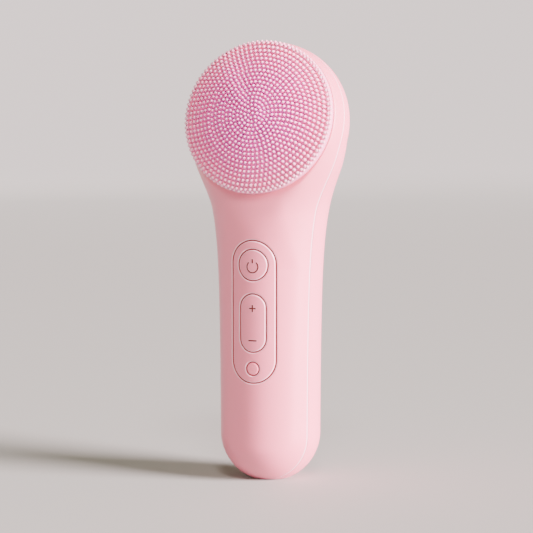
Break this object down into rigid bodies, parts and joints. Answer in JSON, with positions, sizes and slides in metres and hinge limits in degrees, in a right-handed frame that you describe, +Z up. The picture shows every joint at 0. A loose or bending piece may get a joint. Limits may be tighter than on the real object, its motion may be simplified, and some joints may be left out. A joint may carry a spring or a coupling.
{
  "type": "facial cleansing brush",
  "caption": "Handheld sonic facial cleansing brush: round silicone bristle head tilted back on a rounded handle with a power button, a plus and minus rocker and an indicator light.",
  "frame": {"origin": "centre of the small flat that the handle's rounded base stands on", "axes": "+Z up the handle towards the head, -Y towards the front with the bristles and keys, +X to the viewer's right facing the front"},
  "size_m": [0.0616, 0.0404, 0.1639],
  "materials": {
    "shell": "satin soft-touch ABS",
    "rear": "satin soft-touch ABS",
    "silicone": "soft silicone",
    "gasket": "pale silicone",
    "key": "satin",
    "lens": "translucent",
    "nylon": "natural nylon",
    "rubber": "black rubber",
    "steel": "plated steel",
    "brass": "plated brass",
    "board": "green solder mask",
    "chip": "moulded black",
    "battery": "shrink sleeve",
    "foam": "foam",
    "red_lead": "insulation",
    "black_lead": "insulation"
  },
  "bodies": {
    "handle": {"base_cap": "shell", "base_seal": "rubber", "battery_cell": "battery", "battery_connector": "nylon", "battery_foam": "foam", "battery_lead_black": "black_lead", "battery_lead_red": "red_lead", "battery_tab_minus": "steel", "battery_tab_plus": "steel", "board_screw_left": "steel", "board_screw_right": "steel", "bracket_screw_left": "steel", "bracket_screw_right": "steel", "charge_chip": "chip", "charge_lead_black": "black_lead", "charge_lead_red": "red_lead", "charging_contact_left": "brass", "charging_contact_right": "brass", "control_chip": "chip", "control_panel": "shell", "frame_screw_1": "steel", "frame_screw_2": "steel", "frame_screw_3": "steel", "frame_screw_4": "steel", "front_shell": "shell", "indicator_led": "lens", "indicator_lens": "lens", "inner_frame": "nylon", "main_board": "board", "minus_switch": "chip", "motor_bearing": "brass", "motor_bracket": "nylon", "motor_can": "steel", "motor_connector": "nylon", "motor_end_cap": "nylon", "motor_lead_black": "black_lead", "motor_lead_red": "red_lead", "motor_sleeve": "rubber", "panel_seal": "gasket", "plus_switch": "chip", "power_switch": "chip", "rear_shell": "rear", "rocker_pin": "steel", "seam_gasket": "gasket"},
    "power_key": {"power_button": "key"},
    "rocker_key": {"intensity_rocker": "key"},
    "rotor": {"motor_shaft": "steel", "eccentric_weight": "brass"},
    "brush_head": {"brush_pad": "silicone", "pad_carrier": "nylon", "carrier_seal": "rubber"}
  },
  "joints": [
    {"name": "power_press", "type": "slide", "parent": "handle", "child": "power_key", "axis": [0, 1, 0], "range_m": [0, 0.00045], "stiffness_N_per_m": 900, "springref_m": -0.0008},
    {"name": "rocker_tilt", "type": "hinge", "parent": "handle", "child": "rocker_key", "pos_m": [0, -0.0152, 0.05995], "axis": [1, 0, 0], "range_deg": [-2.5, 2.5], "stiffness_Nm_per_rad": 0.05},
    {"name": "rotor_spin", "type": "hinge", "parent": "handle", "child": "rotor", "pos_m": [0, 0.0025, 0.1195], "axis": [0, 0, 1], "continuous": true},
    {"name": "head_pull", "type": "slide", "parent": "handle", "child": "brush_head", "axis": [0, -0.9703, 0.2419], "range_m": [0, 0.03]}
  ]
}
